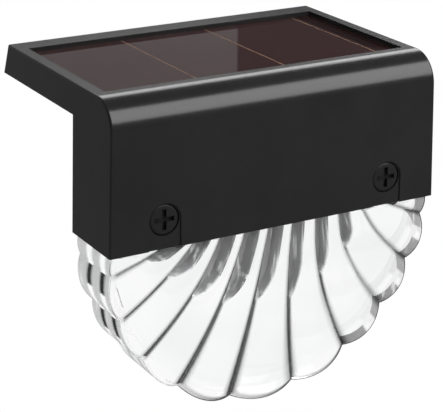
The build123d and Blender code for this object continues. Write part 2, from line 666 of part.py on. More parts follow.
def make_battery_holder():
    rear = COVER_INNER_Y
    back = rear - HOLDER_WALL
    reach = CELL_RADIUS + HOLDER_GAP
    low, high = CELL_Z - reach - HOLDER_WALL, CELL_Z + reach + HOLDER_WALL
    front = CELL_Y - CELL_RADIUS / 2
    outer = HOLDER_HALF + HOLDER_WALL
    holder = block(-outer, outer, back, rear, low, high)
    holder += block(-outer, outer, front, back, low, low + HOLDER_WALL)
    holder += block(-outer, outer, back - HOLDER_ARM, back, high - HOLDER_WALL, high)
    for side in SIDES:
        inner = side * HOLDER_HALF
        x0, x1 = sorted((inner, side * outer))
        holder += block(x0, x1, front, back, low, high - HOLDER_WALL)
    return holder


def contact(x0, x1):
    """A flat spring-steel contact at one end of the cell."""
    half = CONTACT_WIDTH / 2
    return block(x0, x1, CELL_Y - half / 2, CELL_Y + half, CELL_Z - half, CELL_Z + half)


def make_contact_plate():
    return contact(HOLDER_HALF - CONTACT_THICKNESS, HOLDER_HALF)


def make_contact_spring():
    """Flat tab with a bent leaf that presses on the cell's flat end."""
    start = -HOLDER_HALF + CONTACT_THICKNESS
    tip = start + SPRING_ROOM - SPRING_GAP - SPRING_LEAF
    root = start - SPRING_LEAF / 2
    bend = CONTACT_WIDTH / 4
    path = Polyline((root, CELL_Y - bend / 2), (tip, CELL_Y), (tip, CELL_Y + bend / 2),
                    (start + SPRING_LEAF, CELL_Y + bend))
    half = CONTACT_WIDTH / 3
    leaf = extrude(trace(path, SPRING_LEAF), amount=half, both=True)
    return contact(-HOLDER_HALF, start) + Pos(0, 0, CELL_Z) * leaf


# ---------------------------------------------------------------- control board and switch
def make_control_board():
    low = BASE_Z + BOARD_LIFT
    board = block(-BOARD_LENGTH / 2, BOARD_LENGTH / 2, BOARD_FRONT_Y, BOARD_REAR_Y,
                  low, low + BOARD_HEIGHT)
    for x in STANDOFF_PLACES:
        board -= rod_y(x, BOARD_MID_Z, BOARD_FRONT_Y - 1, BOARD_REAR_Y + 1,
                       BOARD_SCREW_RADIUS + FIT_GAP)
    return board


def make_board_parts():
    chip_x, coil_x, capacitor_x = PART_PLACES
    half = CHIP_SIZE / 2
    chip = block(chip_x - half, chip_x + half, BOARD_REAR_Y, BOARD_REAR_Y + CHIP_HEIGHT,
                 BOARD_MID_Z - half, BOARD_MID_Z + half)
    coil = rod_y(coil_x, BOARD_MID_Z, BOARD_REAR_Y, BOARD_REAR_Y + COIL_HEIGHT, COIL_RADIUS)
    capacitor = rod_y(capacitor_x, BOARD_MID_Z, BOARD_REAR_Y, BOARD_REAR_Y + CAPACITOR_HEIGHT,
                      CAPACITOR_RADIUS)
    return joined([chip, coil, capacitor])


def make_board_screws():
    screws = []
    for x in STANDOFF_PLACES:
        head = rod_y(x, BOARD_MID_Z, BOARD_FRONT_Y - BOARD_HEAD_HEIGHT, BOARD_FRONT_Y,
                     BOARD_HEAD_RADIUS)
        shank = rod_y(x, BOARD_MID_Z, BOARD_FRONT_Y, BOARD_FRONT_Y + BOARD_SCREW_LENGTH,
                      BOARD_SCREW_RADIUS)
        screws.append(head + shank)
    return joined(screws)


def make_switch_body():
    half = SWITCH_SIZE / 2
    body = block(BUTTON_PLACE - half, BUTTON_PLACE + half, BOARD_REAR_Y, SWITCH_Y,
                 BUTTON_Z - half, BUTTON_Z + half)
    well = rod_y(BUTTON_PLACE, BUTTON_Z, SWITCH_Y - PLUNGER_DEPTH - BUTTON_TRAVEL - PLUNGER_GAP,
                 SWITCH_Y + 1, PLUNGER_RADIUS + PLUNGER_GAP)
    return body - well


def make_switch_plunger():
    return rod_y(BUTTON_PLACE, BUTTON_Z, SWITCH_Y - PLUNGER_DEPTH, FLANGE_Y - BUTTON_FLANGE,
                 PLUNGER_RADIUS)


def make_power_button():
    cap = rod_y(BUTTON_PLACE, BUTTON_Z, FLANGE_Y - BUTTON_FLANGE / 2, -BUTTON_SUNK, BUTTON_RADIUS)
    rim = cap.edges().sort_by(Axis.Y)[-1]
    cap = chamfer(rim, BUTTON_EDGE)
    flange = rod_y(BUTTON_PLACE, BUTTON_Z, FLANGE_Y - BUTTON_FLANGE, FLANGE_Y,
                   BUTTON_RADIUS + BUTTON_FLANGE_STEP)
    return cap + flange


# ---------------------------------------------------------------- wires
def wire(points):
    """A round wire along straight runs."""
    path = Polyline(*points)
    section = Plane(origin=path @ 0, z_dir=path % 0) * Circle(WIRE_RADIUS)
    return sweep(section, path=path, transition=Transition.RIGHT)


def make_panel_wires():
    """From the panel, along the tray and down beside the cell, to the control board."""
    level = (CEILING_Z + COVER_FLOOR_Z) / 2
    drop_y = BOARD_REAR_Y + 2 * WIRE_CLEAR
    wires = []
    for step in (0, WIRE_GAP):
        slot_y = 1.5 * WIRE_SLOT_WIDTH - WIRE_GAP / 2 + step
        side_x = HOLDER_HALF + HOLDER_WALL + WIRE_CLEAR + step
        pad_x = BOARD_LENGTH / 2 - 1.5 * WIRE_CLEAR + step
        pad_z = PAD_Z - step
        wires.append(wire([
            (0, slot_y, POCKET_FLOOR_Z + ADHESIVE_THICKNESS), (0, slot_y, level),
            (side_x, slot_y, level), (side_x, drop_y, level), (side_x, drop_y, pad_z),
            (pad_x, drop_y, pad_z), (pad_x, BOARD_REAR_Y, pad_z)]))
    return joined(wires)


def make_battery_wires():
    """From each of the cell's contacts, down in front of the cell, to the control board."""
    top = CELL_Z + CONTACT_WIDTH / 2 - WIRE_CLEAR / 2
    drop_y = BOARD_FRONT_Y - 1.5 * WIRE_CLEAR
    wires = []
    for side in SIDES:
        x = side * (HOLDER_HALF - WIRE_RADIUS)
        wires.append(wire([
            (x, CELL_Y - CONTACT_WIDTH / 4, top), (x, drop_y, top), (x, drop_y, PAD_Z),
            (x, BOARD_FRONT_Y, PAD_Z)]))
    return joined(wires)


def make_led_wires():
    """From the LED board up to the control board."""
    start_y = BOARD_REAR_Y + 2 * WIRE_CLEAR
    start_z = DECK_TOP_Z + BOARD_THICKNESS
    pad_z = BASE_Z + BOARD_LIFT + 2 * WIRE_CLEAR
    return joined([
        wire([(x, start_y, start_z), (x, start_y, pad_z), (x, BOARD_REAR_Y, pad_z)])
        for x in LED_WIRE_PLACES])


# ---------------------------------------------------------------- mounting screws
def mounting_screw(x):
    """Pan head with a cross recess, a plain shank, a thread envelope and a point."""
    seat = FRONT_Y + SEAT_DEPTH
    top = seat - HEAD_HEIGHT
    tip = seat + SCREW_LENGTH
    head = rod_y(x, 0, top, seat, HEAD_RADIUS)
    head = fillet(head.edges().filter_by(GeomType.CIRCLE).sort_by(Axis.Y)[0], HEAD_ROUND)
    half, slot = CROSS_SPAN / 2, CROSS_SLOT / 2
    head -= block(x - half, x + half, top - 1, top + CROSS_DEPTH, -slot, slot)
    head -= block(x - slot, x + slot, top - 1, top + CROSS_DEPTH, -half, half)
    shank = rod_y(x, 0, seat - HEAD_HEIGHT / 4, SCREW_POINT, SHANK_RADIUS)
    thread = rod_y(x, 0, 0, tip - SCREW_POINT, SCREW_RADIUS)
    point = Pos(x, tip - SCREW_POINT / 2, 0) * Rot(-90, 0, 0) * Cone(
        SCREW_RADIUS, SCREW_RADIUS / 10, SCREW_POINT)
    return head + shank + thread + point


def make_mounting_screws():
    return joined([mounting_screw(x) for x in SCREW_PLACES])


def build():
    """Every piece, by node name."""
    return {
        "housing": make_housing(),
        "rear_cover": make_rear_cover(),
        "cover_gasket": make_cover_gasket(),
        "cover_screws": make_cover_screws(),
        "panel_adhesive": make_panel_adhesive(),
        "panel_backing": make_panel_backing(),
        "solar_cells": make_solar_cells(),
        "cell_lines": make_cell_lines(),
        "panel_top": make_panel_top(),
        "clear_lens": make_clear_lens(),
        "lens_gasket": make_lens_gasket(),
        "light_deck": make_light_deck(),
        "led_board": make_led_board(),
        "leds": make_leds(),
        "battery_cell": make_battery_cell(),
        "battery_holder": make_battery_holder(),
        "contact_plate": make_contact_plate(),
        "contact_spring": make_contact_spring(),
        "control_board": make_control_board(),
        "board_parts": make_board_parts(),
        "board_screws": make_board_screws(),
        "switch_body": make_switch_body(),
        "switch_plunger": make_switch_plunger(),
        "power_button": make_power_button(),
        "panel_wires": make_panel_wires(),
        "battery_wires": make_battery_wires(),
        "led_wires": make_led_wires(),
        "mounting_screws": make_mounting_screws(),
    }


os.makedirs("parts", exist_ok=True)
for node, shape in build().items():
    export_step(shape, f"parts/{node}.step")
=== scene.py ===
"""Looks of the solar fence light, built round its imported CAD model. The frame is in metres
with +Z up; the lens and the screws are worked out in millimetres."""
import json
import math

import bmesh
import bpy
from mathutils import Matrix, Vector


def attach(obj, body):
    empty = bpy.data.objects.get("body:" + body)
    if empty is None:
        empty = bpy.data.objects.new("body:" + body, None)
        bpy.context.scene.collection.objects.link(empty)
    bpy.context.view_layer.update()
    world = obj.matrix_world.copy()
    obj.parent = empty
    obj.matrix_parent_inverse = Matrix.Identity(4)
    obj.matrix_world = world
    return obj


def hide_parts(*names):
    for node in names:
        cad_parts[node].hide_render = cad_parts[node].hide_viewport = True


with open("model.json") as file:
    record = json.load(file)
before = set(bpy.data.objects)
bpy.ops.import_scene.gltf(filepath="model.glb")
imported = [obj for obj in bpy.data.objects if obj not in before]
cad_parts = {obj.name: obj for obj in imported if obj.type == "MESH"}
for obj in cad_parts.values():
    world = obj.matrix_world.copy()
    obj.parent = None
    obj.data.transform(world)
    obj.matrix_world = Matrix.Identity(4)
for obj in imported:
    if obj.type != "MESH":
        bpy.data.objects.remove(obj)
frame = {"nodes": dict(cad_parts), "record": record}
bpy.context.view_layer.update()
bpy.context.scene.view_settings.view_transform = "Standard"
MM = 0.001


# ---------------------------------------------------------------- node helpers
def tree_math(tree, operation, first, second):
    """A maths node; each value is a number or an output."""
    node = tree.nodes.new("ShaderNodeMath")
    node.operation = operation
    for value, socket in zip((first, second), node.inputs):
        if isinstance(value, (int, float)):
            socket.default_value = value
        else:
            tree.links.new(value, socket)
    return node.outputs[0]


class Nodes:
    """A small builder for one material's node tree."""

    def __init__(self, name):
        self.material = bpy.data.materials.new(name)
        self.material.use_nodes = True
        self.tree = self.material.node_tree
        self.shader = self.tree.nodes["Principled BSDF"]
        self.output = self.tree.nodes["Material Output"]
        self.coords = self.add("ShaderNodeTexCoord").outputs["Object"]

    def add(self, kind, **settings):
        """A node, with its inputs and properties set by name."""
        node = self.tree.nodes.new(kind)
        for key, value in settings.items():
            if key in node.inputs:
                node.inputs[key].default_value = value
            else:
                setattr(node, key, value)
        return node

    def link(self, source, target):
        self.tree.links.new(source, target)

    def set(self, **values):
        """Sets the shader's inputs; an underscore stands for a space."""
        for key, value in values.items():
            self.shader.inputs[key.replace("_", " ")].default_value = value

    def noise(self, scale, detail=2.0, roughness=0.5, stretch=None):
        """Noise of so many cells per metre."""
        node = self.add("ShaderNodeTexNoise", Scale=scale, Detail=detail, Roughness=roughness)
        source = self.coords
        if stretch:
            mapping = self.add("ShaderNodeMapping")
            mapping.inputs["Scale"].default_value = stretch
            self.link(source, mapping.inputs["Vector"])
            source = mapping.outputs["Vector"]
        self.link(source, node.inputs["Vector"])
        return node.outputs["Fac"]

    def between(self, factor, low, high, start=0.35, stop=0.65):
        """Maps a factor from start..stop to low..high, which are numbers or colours."""
        if isinstance(low, (int, float)):
            node = self.add("ShaderNodeMapRange")
            values = {"From Min": start, "From Max": stop, "To Min": low, "To Max": high}
            for key, value in values.items():
                node.inputs[key].default_value = value
            self.link(factor, node.inputs["Value"])
            return node.outputs["Result"]
        ramp = self.add("ShaderNodeValToRGB")
        ramp.color_ramp.elements[0].position = start
        ramp.color_ramp.elements[1].position = stop
        ramp.color_ramp.elements[0].color = (*low, 1)
        ramp.color_ramp.elements[1].color = (*high, 1)
        self.link(factor, ramp.inputs["Fac"])
        return ramp.outputs["Color"]

    def attribute(self, name):
        """A value stored on the mesh."""
        return self.add("ShaderNodeAttribute", attribute_name=name).outputs["Fac"]

    def math(self, operation, first, second):
        return tree_math(self.tree, operation, first, second)

    def mix(self, first, second, factor):
        """Blends two colours, each an output or a triple."""
        node = self.add("ShaderNodeMix", data_type="RGBA")
        self.link(factor, node.inputs["Factor"])
        colours = [socket for socket in node.inputs if socket.type == "RGBA"]
        for value, socket in zip((first, second), colours):
            if isinstance(value, tuple):
                socket.default_value = (*value, 1)
            else:
                self.link(value, socket)
        return next(socket for socket in node.outputs if socket.type == "RGBA")

    def bump(self, height, distance):
        """Grain so many metres deep."""
        node = self.add("ShaderNodeBump", Strength=1.0, Distance=distance)
        self.link(height, node.inputs["Height"])
        self.link(node.outputs["Normal"], self.shader.inputs["Normal"])


def srgb(value):
    """Linear colour of an sRGB triple from 0 to 255."""
    return tuple(
        (c / 255 / 12.92) if c / 255 <= 0.04045 else ((c / 255 + 0.055) / 1.055) ** 2.4
        for c in value)


# ---------------------------------------------------------------- materials
GRAIN_SCALE = 2600          # cells per metre
WEAR_SCALE = 1500
LENS_IOR = 1.49
INSIDE_IOR = 1.03           # of the lens's hollow and its rim's wall, which hardly bend light
STEEP_SPAN = (0.44, 0.56)   # facing values over which painted shade darkens the lens's flanks
# painted grey shade of the gaps, the right rim band and the rim's wall
SHADE_COLOUR = (160, 160, 161)
EDGE_COLOUR = (14, 14, 14)  # painted shade of steep flanks, crease lines and outlines
SHADE_ROUGHNESS = 0.12
SHADE_MILK = 0.88           # share of light that parts with full painted shade don't let through


def grained_plastic(name, dark, light, roughness, grain=0.00002, specular=0.5):
    """Moulded plastic: slight colour variation, fine spark grain and soft mottling of the gloss."""
    n = Nodes(name)
    n.link(n.between(n.noise(60, 3), srgb(dark), srgb(light)), n.shader.inputs["Base Color"])
    low, high = roughness
    n.link(n.between(n.noise(900, 3), low, high), n.shader.inputs["Roughness"])
    n.bump(n.noise(GRAIN_SCALE, 3, 0.6), grain)
    n.set(Specular_IOR_Level=specular)
    return n.material


def solar_cell():
    """Thin-film cell bonded under the clear sheet: dark brown with a violet cast."""
    n = Nodes("thin_film_cell")
    tone = n.between(n.noise(25, 3), srgb((48, 22, 23)), srgb((53, 25, 26)), 0.3, 0.7)
    n.link(tone, n.shader.inputs["Base Color"])
    n.link(n.between(n.noise(400), 0.5, 0.6), n.shader.inputs["Roughness"])
    n.set(Specular_IOR_Level=0.0, Coat_Weight=1.0, Coat_Roughness=0.02, Coat_IOR=1.4)
    return n.material


def clear_sheet():
    """The panel's smooth clear top, so thin and even that it hardly shows over the cells."""
    n = Nodes("clear_sheet")
    n.link(n.between(n.noise(40), srgb((50, 36, 36)), srgb((56, 40, 40))),
           n.shader.inputs["Base Color"])
    n.link(n.between(n.noise(300), 0.02, 0.04), n.shader.inputs["Roughness"])
    n.set(Alpha=0.08, IOR=1.4)
    return n.material


def clear_acrylic(name, ior):
    """Clear lens plastic, with the painted shade that the mesh carries: grey and less clear where
    shade is painted, painted dark on its lines, and painted dark where its flanks are steep to
    the view."""
    n = Nodes(name)
    clear = n.between(n.noise(50), srgb((250, 251, 251)), srgb((255, 255, 255)))
    flank = n.attribute("flank")
    # painted shade: flanks steep to the view and the painted lines turn dark
    steep = n.between(n.add("ShaderNodeLayerWeight", Blend=0.5).outputs["Facing"], 0.0, 1.0,
                      *STEEP_SPAN)
    edge = n.math("MAXIMUM", n.math("MULTIPLY", steep, flank), n.attribute("line"))
    # painted light streaks through the painted grey shade
    streaks = n.between(n.noise(500, 2, 0.5, (1, 1, 0.12)), 1.0, 0.5, 0.56, 0.7)
    shade = n.math("MULTIPLY", n.attribute("shade"), streaks)
    tint = n.mix(clear, srgb(SHADE_COLOUR), shade)
    n.link(n.mix(tint, srgb(EDGE_COLOUR), edge), n.shader.inputs["Base Color"])
    frost = n.math("MULTIPLY", n.attribute("shade"), SHADE_ROUGHNESS)
    n.link(n.math("ADD", frost, n.between(n.noise(200), 0.0, 0.01)),
           n.shader.inputs["Roughness"])
    n.link(n.math("SUBTRACT", 1.0, n.math("MULTIPLY", shade, SHADE_MILK)),
           n.shader.inputs["Transmission Weight"])
    n.set(IOR=ior)
    return n.material


def metal(name, dark, light, roughness):
    """Plated or bare metal with a fine worn finish."""
    n = Nodes(name)
    n.link(n.between(n.noise(250, 4), srgb(dark), srgb(light)), n.shader.inputs["Base Color"])
    low, high = roughness
    n.link(n.between(n.noise(WEAR_SCALE, 3), low, high), n.shader.inputs["Roughness"])
    n.bump(n.noise(WEAR_SCALE * 2), 0.000005)
    n.set(Metallic=1.0)
    return n.material


MATERIALS = {
    "housing": grained_plastic("black_plastic", (31, 31, 31), (34, 34, 34), (0.2, 0.23),
                               grain=0.000002, specular=0.3),
    "cover": grained_plastic("cover_plastic", (29, 29, 30), (35, 35, 36), (0.45, 0.55)),
    "seal": grained_plastic("sealing_rubber", (24, 24, 24), (32, 32, 32), (0.7, 0.85)),
    "small_screws": metal("zinc_screws", (150, 152, 155), (185, 186, 188), (0.25, 0.4)),
    "adhesive": grained_plastic("bonding_tape", (190, 188, 180), (205, 203, 195), (0.6, 0.8)),
    "panel_board": grained_plastic("panel_board", (24, 40, 28), (32, 50, 36), (0.4, 0.5)),
    "solar_cells": solar_cell(),
    "gold_lines": metal("gold_lines", (112, 82, 56), (128, 94, 64), (0.45, 0.55)),
    "panel_top": clear_sheet(),
    "clear_lens": clear_acrylic("clear_acrylic", LENS_IOR),
    "deck": grained_plastic("white_deck", (225, 225, 222), (235, 235, 233), (0.4, 0.5)),
    "circuit_board": grained_plastic("circuit_board", (24, 84, 42), (30, 96, 50), (0.3, 0.4)),
    "led": grained_plastic("led_lamp", (240, 225, 150), (250, 238, 170), (0.3, 0.4)),
    "cell_sleeve": grained_plastic("cell_sleeve", (38, 110, 74), (44, 120, 82), (0.2, 0.3)),
    "holder": grained_plastic("holder_plastic", (26, 26, 27), (34, 34, 35), (0.4, 0.5)),
    "spring_steel": metal("spring_steel", (180, 180, 178), (205, 205, 203), (0.15, 0.25)),
    "board_parts": grained_plastic("board_parts", (28, 28, 30), (38, 38, 40), (0.3, 0.4)),
    "switch": grained_plastic("switch_plastic", (34, 34, 35), (44, 44, 45), (0.3, 0.4)),
    "button": grained_plastic("button_rubber", (36, 36, 37), (44, 44, 45), (0.6, 0.75)),
    "black_screws": grained_plastic("black_screw_coat", (27, 27, 27), (31, 31, 31), (0.4, 0.5),
                                    grain=0.000004, specular=0.25),
    "wire_sleeve": grained_plastic("wire_sleeve", (150, 24, 22), (165, 30, 28), (0.4, 0.5)),
}
for part in frame["record"]["subparts"]:
    mesh = frame["nodes"][part["node"]].data
    mesh.materials.clear()
    mesh.materials.append(MATERIALS[part["material_slot"]])


# ---------------------------------------------------------------- lens sizes, in millimetres
FRONT_Y = -24.5             # the housing's front face
BASE_Z = -8.6               # the housing's lower edge, where the flutes start
LENS_INSET = 0.6            # flute crests behind the front face, at the top
CREST_TILT = 0.095          # crests lean back, per mm down
FLUTE_RISE = 1.1            # crest above crease at the top
FLUTE_RISE_TILT = 0.03      # and how that grows, per mm down
VALLEY_DEPTH = 5.4          # floors of the gaps between the flute stems
VALLEY_TILT = 0.06
CUSP_RADIUS_X = 53.5        # outline through the cusps, half an ellipse
CUSP_RADIUS_Z = 57.8
CUSP_ANGLES = (11.1, 31.2, 49.3, 66.5, 83.0)   # from straight down, each side
CREASE_PULL = (0.18, 0.17, 0.17, 0.31, 0.53)   # sideways bow of each crease
STEM_PITCH = 8.1            # between creases at the housing
FAN_SHIFT = 1.9             # of the creases' tops, to the right
LOBE_BULGE = 2.3            # outline between two cusps
END_BULGE = LOBE_BULGE / 4  # the same on the two end lobes
RIM_ROUND = 1.4             # at the rim's front edge
REAR_ROUND = 0.4            # and at its rear edge
REAR_Y = -0.5               # the flat back
LENS_WALL = 2.6             # round the cavity, in from the ellipse through the cusps
LENS_FLOOR = 2.0            # front of the cavity, behind the gaps' floors
FLANGE = 1.8                # above the cavity
CAVITY_REAR_Y = -2.7
COLLAR_TOP_Z = -5.4
COLLAR = (51.5, -18.8, -4.3)    # half width, front and rear
MOUTH = (49.5, -16.8, -6.3)
COLLAR_CORNER = 1.5

GAP_BEFORE = 0.3            # reach of a gap to the left of its crease
GAP_AFTER = (3.9, 3.0)      # and to the right, on the lens's left side and its right side
# where each gap closes, as a share of its crease, from the middle outward
LEFT_GAP_ENDS = (0.44, 0.48, 0.52, 0.48, 0.45)
RIGHT_GAP_ENDS = (0.47, 0.42, 0.36, 0.06, 0.05)
GAP_KEEPS = 0.55            # share of a gap's length over which it keeps its width
GAP_RUNOUT = 0.08           # share of its crease over which its floor rises at the end
SOFT_EDGE = 0.35            # half the width of its walls

# ---------------------------------------------------------------- lens mesh steps
ROWS = 56                   # along a flute
ACROSS = 28                 # across it
CORE = 0.64                 # share of those across that lie between the gaps' walls
FAR_CREASE = 1.0            # and how far from a crease they stay, in millimetres
CORE_WALL = 0.86            # the same with the walls
NEAR_CREASE = 0.3
ARC_STEPS = 6               # over each rounding
WALL_STEPS = 12             # down the rim's wall
CORNER_STEPS = 6            # round each corner of the collar
BOWL_STEP = 1.5             # degrees between places on the cavity's outline
FLANGE_CLEAR = 0.05         # how far below the flange the first of them is, in millimetres
SEARCH_SPAN = (0.5, 1.4)    # shares between which every flute meets the outline
SEARCH_STEPS = 40
TOP_SHARE = 0.003           # least share at which an end flute can be cut level
SAME_PLACE = 1e-4           # millimetres between points that count as one
LENS_SHARP = 35             # degrees between faces from which their edge stays sharp

# ---------------------------------------------------------------- painted shade of the lens, kept on the mesh
PAINTED_SHADE = ("shade", "flank", "line")
SHADE_SPREAD = 4            # how soon a gap's wall has its full painted shade
# the painted dark line of shade along each crease, from the middle outward: its darkness, half
# its width at the housing and how much that gains by the cusp
LEFT_LINES = ((1.0, 0.3, 2.0), (1.0, 0.3, 1.8), (0.95, 0.4, 0.5), (0.95, 0.7, 0.5),
              (0.95, 1.3, 0.3))
RIGHT_LINES = ((1.0, 0.3, 2.0), (1.0, 0.3, 2.6), (0.85, 0.4, 2.6), (0.9, 1.2, 0.6),
               (0.9, 1.3, 0.3))
SIDE_CREASE = 2             # the low lobes lie within this crease, the side lobes outside it
RIM_FLANK = 1.8             # how much painted shade darkens the rim's rounding where it is steep
LEFT_RIM_FLANK = 0.4        # the same on the left side lobes
OUTLINE_LEFT = 0.55         # darkness of a low lobe's painted dark outline at its left end; 1 at its right
OUTLINE_TURN = (-0.7, 0.6)  # across values between which that changes
OUTLINE_REACH = 0.6         # how far it reaches past the rounding, as a share of its width
RIM_BAND = 4.5              # width of the right side lobes' painted grey edges, rounding included
BAND_GLEAM = (-0.07, 0.3)   # across values between which the painted grey leaves them clear
BAND_EDGE = 0.08            # their soft inner edge, as a share of their width
BAND_LINE = 0.12            # the dark shade painted over them
WALL_GREY = 0.55            # painted shade of the rim's wall on the left
RIGHT_WALL = 0.2            # share of it on the right
WALL_FADE = (30, 50)        # degrees from straight down over which the wall's painted shade sets in
WALL_STRIPES = ((0.12, 0.3), (0.53, 0.71))  # shares of the wall's depth with painted dark spots and clear gleams
SPOT_ENDS = (0.1, 0.42)     # shares of a lobe with painted dark spots, from its upper cusp
SPOTTED_TO = 85             # degrees from straight down, for the spotted lobes' middles


class Point:
    """A place in millimetres and its painted shade: how much grey shade is painted on it, how
    much painted shade darkens it where it is steep, and how much it belongs to a painted dark
    line."""

    def __init__(self, x, y, z, shade=0.0, flank=0.0, line=0.0):
        self.x, self.y, self.z, self.shade, self.flank, self.line = x, y, z, shade, flank, line


def smooth(t):
    """Eases from 0 to 1 while t goes from 0 to 1."""
    t = min(1.0, max(0.0, t))
    return t * t * (3 - 2 * t)


def part_of(value, span):
    """How far a value is through a span."""
    return (value - span[0]) / (span[1] - span[0])


def piecewise(value, stops):
    """Straight runs between (value, result) stops."""
    for (v0, r0), (v1, r1) in zip(stops, stops[1:]):
        if value <= v1:
            return r0 + (r1 - r0) * part_of(value, (v0, v1))
    return stops[-1][1]


# ---------------------------------------------------------------- flutes, creases and gaps
def crest_y(z):
    """Y of the flutes' crests at a height."""
    return FRONT_Y + LENS_INSET + CREST_TILT * (BASE_Z - z)


def crease_rise(z):
    """Crest above crease at a height."""
    return FLUTE_RISE + FLUTE_RISE_TILT * (BASE_Z - z)


def valley_y(z):
    """Y of the gaps' floors at a height."""
    return FRONT_Y + VALLEY_DEPTH + VALLEY_TILT * (BASE_Z - z)


def cusp(angle, inset=0.0):
    """(x, z) on the ellipse through the cusps, at an angle from straight down."""
    turn = math.radians(angle)
    rx, rz = CUSP_RADIUS_X - inset, CUSP_RADIUS_Z - inset
    radius = rx * rz / math.hypot(rz * math.sin(turn), rx * math.cos(turn))
    return radius * math.sin(turn), BASE_Z - radius * math.cos(turn)


def crease(index, share):
    """(x, z) on a crease, from the housing at share 0 to the rim at 1. Index -5 to 5, not 0."""
    rank, side = abs(index) - 1, (1 if index > 0 else -1)
    end_x, end_z = cusp(CUSP_ANGLES[rank])
    start_x = (rank + 0.5) * STEM_PITCH
    pull_x = start_x + CREASE_PULL[rank] * (end_x - start_x)
    pull_z = (BASE_Z + end_z) / 2
    near, mid, far = (1 - share) ** 2, 2 * share * (1 - share), share ** 2
    x = side * (near * start_x + mid * pull_x + far * end_x) + FAN_SHIFT * max(0.0, 1 - share)
    return x, near * BASE_Z + mid * pull_z + far * end_z


def section_ends(left, right, share):
    """The two ends of a flute's section. A flute is named by its left and right creases; the
    two end flutes have only one, and a mirrored end."""
    if left is None or right is None:
        index = right if left is None else left
        side = 1 if index > 0 else -1
        x, z = crease(index, share)
        height = abs(BASE_Z - z) + STEM_PITCH / 2 * abs(share)
        mirrored = (x + side * STEM_PITCH * (1 - share), BASE_Z + height)
        return (mirrored, (x, z)) if left is None else ((x, z), mirrored)
    return crease(left, share), crease(right, share)


def gap_size(index, share):
    """How far the gap at a crease reaches to its left and right, and how open it is, 0 to 1."""
    if index is None:
        return 0.0, 0.0, 0.0
    end = (RIGHT_GAP_ENDS if index > 0 else LEFT_GAP_ENDS)[abs(index) - 1]
    width = math.sqrt(1 - smooth(part_of(share / end, (GAP_KEEPS, 1))))
    return GAP_BEFORE * width, GAP_AFTER[index > 0] * width, smooth((end - share) / GAP_RUNOUT)


def wall_width(reach):
    """Width of a gap's wall, which ends before the crease so that both flutes meet there."""
    return min(2 * SOFT_EDGE, reach + SOFT_EDGE)


def painted_crease_line(index, share, distance):
    """Darkness of the painted dark line of shade along a crease, which widens towards the cusp."""
    if index is None:
        return 0.0
    dark, width, gain = (RIGHT_LINES if index > 0 else LEFT_LINES)[abs(index) - 1]
    return dark * smooth(1 - distance / (width + gain * share ** 2))


def flute_point(left, right, share, across):
    """Point on a flute's front; across runs from -1 to 1 between the creases, with the gaps'
    walls and floors in its outer parts."""
    (x0, z0), (x1, z1) = section_ends(left, right, share)
    width = math.hypot(x1 - x0, z1 - z0)
    half = width / 2
    _, first_gap, first_open = gap_size(left, share)
    last_gap, _, last_open = gap_size(right, share)
    low, high = first_gap - half, half - last_gap
    offset = piecewise(across, (
        (-1, -half),
        (-CORE_WALL, max(low - SOFT_EDGE, NEAR_CREASE - half)),
        (-CORE, max(low + SOFT_EDGE, FAR_CREASE - half)),
        (CORE, min(high - SOFT_EDGE, half - FAR_CREASE)),
        (CORE_WALL, min(high + SOFT_EDGE, half - NEAR_CREASE)),
        (1, half)))
    x = (x0 + x1) / 2 + (x1 - x0) / width * offset
    z = (z0 + z1) / 2 + (z1 - z0) / width * offset
    rise = crease_rise(z)
    radius = (half ** 2 + rise ** 2) / (2 * rise)
    y = crest_y(z) + radius - math.sqrt(radius ** 2 - offset ** 2)
    depth = max(first_open * smooth((low - offset + SOFT_EDGE) / wall_width(first_gap)),
                last_open * smooth((offset - high + SOFT_EDGE) / wall_width(last_gap)))
    y += (valley_y(z) - y) * depth
    # painted grey shade on the gaps, which get no painted flank darkening; a painted dark line
    # along the creases
    shade = smooth(depth * SHADE_SPREAD)
    line = painted_crease_line(left if offset < 0 else right, share, half - abs(offset)) * (1 - shade)
    return Point(x, y, z, shade, 1 - shade, line)


def end_across(left, right, share, level):
    """Across value at which an end flute's section reaches a height."""
    (_, z0), (_, z1) = section_ends(left, right, share)
    low, high = -1.0, 1.0
    for _ in range(SEARCH_STEPS):
        middle = (low + high) / 2
        above = flute_point(left, right, share, middle).z > level
        if above == (z1 > z0):
            high = middle
        else:
            low = middle
    return (low + high) / 2


def end_point(left, right, share, part):
    """Point on an end flute, from its crease (part 0) up to the flange's top (part 1)."""
    at_crease = 1.0 if left is None else -1.0
    if part == 0:
        return flute_point(left, right, share, at_crease)
    safe = max(share, TOP_SHARE)
    top = end_across(left, right, safe, BASE_Z)
    p = flute_point(left, right, safe, at_crease + (top - at_crease) * part)
    if share == 0:
        p.z = BASE_Z
    return p


# ---------------------------------------------------------------- outline of the lobes
def arc_through(start, top, end):
    """Centre and radius of the circle through three (x, z) points."""
    (ax, az), (bx, bz), (cx, cz) = start, top, end
    d = 2 * (ax * (bz - cz) + bx * (cz - az) + cx * (az - bz))
    a2, b2, c2 = ax * ax + az * az, bx * bx + bz * bz, cx * cx + cz * cz
    ux = (a2 * (bz - cz) + b2 * (cz - az) + c2 * (az - bz)) / d
    uz = (a2 * (cx - bx) + b2 * (ax - cx) + c2 * (bx - ax)) / d
    return ux, uz, math.hypot(ax - ux, az - uz)


def lobe_circle(a0, a1):
    """The circle that a lobe's outline follows, between two cusps' angles."""
    start, end, middle = cusp(a0), cusp(a1), cusp((a0 + a1) / 2)
    length = math.hypot(middle[0], middle[1] - BASE_Z)
    bulge = END_BULGE if 90 in (abs(a0), abs(a1)) else LOBE_BULGE
    top = ((start[0] + end[0]) / 2 + middle[0] / length * bulge,
           (start[1] + end[1]) / 2 + (middle[1] - BASE_Z) / length * bulge)
    return arc_through(start, top, end)


